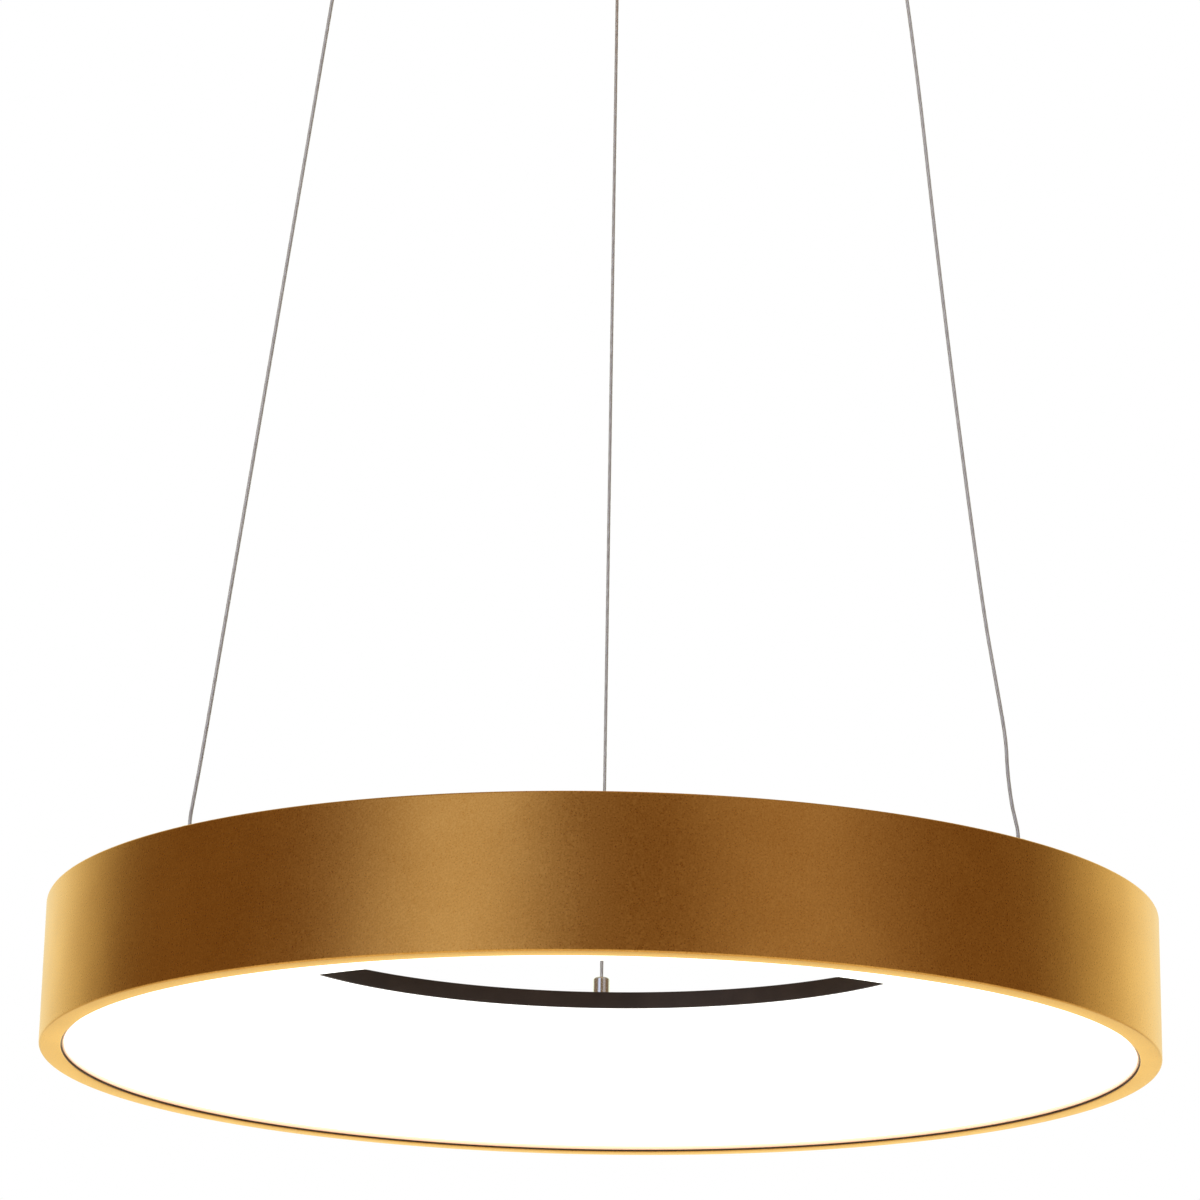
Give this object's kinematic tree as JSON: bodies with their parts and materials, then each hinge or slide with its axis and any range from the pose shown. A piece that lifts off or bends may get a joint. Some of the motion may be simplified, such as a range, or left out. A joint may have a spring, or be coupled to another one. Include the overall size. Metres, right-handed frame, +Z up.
{
  "type": "led ring chandelier",
  "caption": "Round pendant lamp: a gold drum ring with a glowing opal diffuser, hung on thin cables with grippers from a round gold ceiling canopy.",
  "frame": {"origin": "centre of the ceiling bracket's back face, where the canopy meets the ceiling", "axes": "+Z up to the ceiling, the ring hangs below along -Z; the picture is taken from -Y and below, with +X to the right"},
  "size_m": [0.6, 0.6, 0.8],
  "materials": {
    "gold": "satin gold anodised",
    "black_paint": "satin black-brown paint",
    "opal": "opal acrylic, lit from inside",
    "board_white": "white solder mask on aluminium",
    "led": "yellow phosphor",
    "screw_steel": "zinc plated",
    "screw_black": "black oxide",
    "zinc": "zinc plated",
    "brass": "plain brass",
    "crimp": "crimped aluminium",
    "cable": "steel strand in a clear sheath",
    "chrome": "polished chrome",
    "spring": "spring steel",
    "driver_plastic": "white moulded plastic",
    "circuit": "green circuit board",
    "winding": "yellow tape round a ferrite core",
    "capacitor": "dark sleeve",
    "block_plastic": "natural nylon",
    "lead_brown": "brown insulation",
    "lead_blue": "blue insulation",
    "lead_green": "green and yellow insulation",
    "lead_red": "red insulation",
    "lead_black": "black insulation",
    "lead_white": "white insulation"
  },
  "bodies": {
    "canopy": {"canopy_cup": "gold", "canopy_thumb_screws": "gold", "ceiling_bracket": "zinc", "gripper_body_1": "chrome", "gripper_body_2": "chrome", "gripper_body_3": "chrome", "gripper_spring_1": "spring", "gripper_spring_2": "spring", "gripper_spring_3": "spring", "gripper_nuts": "zinc", "cable_tails": "cable", "cable_crimps": "crimp", "driver_base": "driver_plastic", "driver_lid": "driver_plastic", "driver_board": "circuit", "driver_transformer": "winding", "driver_capacitors": "capacitor", "driver_screws": "screw_steel", "terminal_block": "block_plastic", "terminal_screws": "brass", "earth_screw": "brass", "earth_lead": "lead_green", "live_lead": "lead_brown", "neutral_lead": "lead_blue", "output_lead_plus": "lead_red", "output_lead_minus": "lead_black"},
    "suspension": {"cable_1": "cable", "cable_2": "cable", "cable_3": "cable"},
    "ring": {"gold_band": "gold", "top_plate": "black_paint", "inner_trim_ring": "black_paint", "trim_screws": "screw_black", "diffuser": "opal", "led_board_1": "board_white", "led_board_2": "board_white", "led_board_3": "board_white", "leds_1": "led", "leds_2": "led", "leds_3": "led", "board_screws": "screw_steel", "top_screws": "screw_black", "weld_nuts": "zinc", "hollow_studs": "brass", "stud_washers": "zinc", "stud_nuts": "zinc", "cable_barrel_1": "chrome", "cable_barrel_2": "chrome", "cable_barrel_3": "chrome", "cable_ferrules": "crimp", "feed_lead_plus": "lead_red", "feed_lead_minus": "lead_black", "jumper_leads": "lead_white"},
    "nipple_1": {"gripper_nipple_1": "chrome", "gripper_balls_1": "screw_steel"},
    "nipple_2": {"gripper_nipple_2": "chrome", "gripper_balls_2": "screw_steel"},
    "nipple_3": {"gripper_nipple_3": "chrome", "gripper_balls_3": "screw_steel"}
  },
  "joints": [
    {"name": "ring_sway", "type": "hinge", "parent": "canopy", "child": "suspension", "pos_m": [0, 0, -0.062], "axis": [0, 1, 0], "range_deg": [-5, 5]},
    {"name": "ring_height", "type": "slide", "parent": "suspension", "child": "ring", "axis": [0, 0, 1], "range_m": [0, 0.3], "deforming": ["cable_1", "cable_2", "cable_3"]},
    {"name": "nipple_1_press", "type": "slide", "parent": "canopy", "child": "nipple_1", "axis": [0, 0, 1], "range_m": [0, 0.003], "stiffness_N_per_m": 600, "springref_m": -0.004, "deforming": ["gripper_spring_1"]},
    {"name": "nipple_2_press", "type": "slide", "parent": "canopy", "child": "nipple_2", "axis": [0, 0, 1], "range_m": [0, 0.003], "stiffness_N_per_m": 600, "springref_m": -0.004, "deforming": ["gripper_spring_2"]},
    {"name": "nipple_3_press", "type": "slide", "parent": "canopy", "child": "nipple_3", "axis": [0, 0, 1], "range_m": [0, 0.003], "stiffness_N_per_m": 600, "springref_m": -0.004, "deforming": ["gripper_spring_3"]}
  ]
}
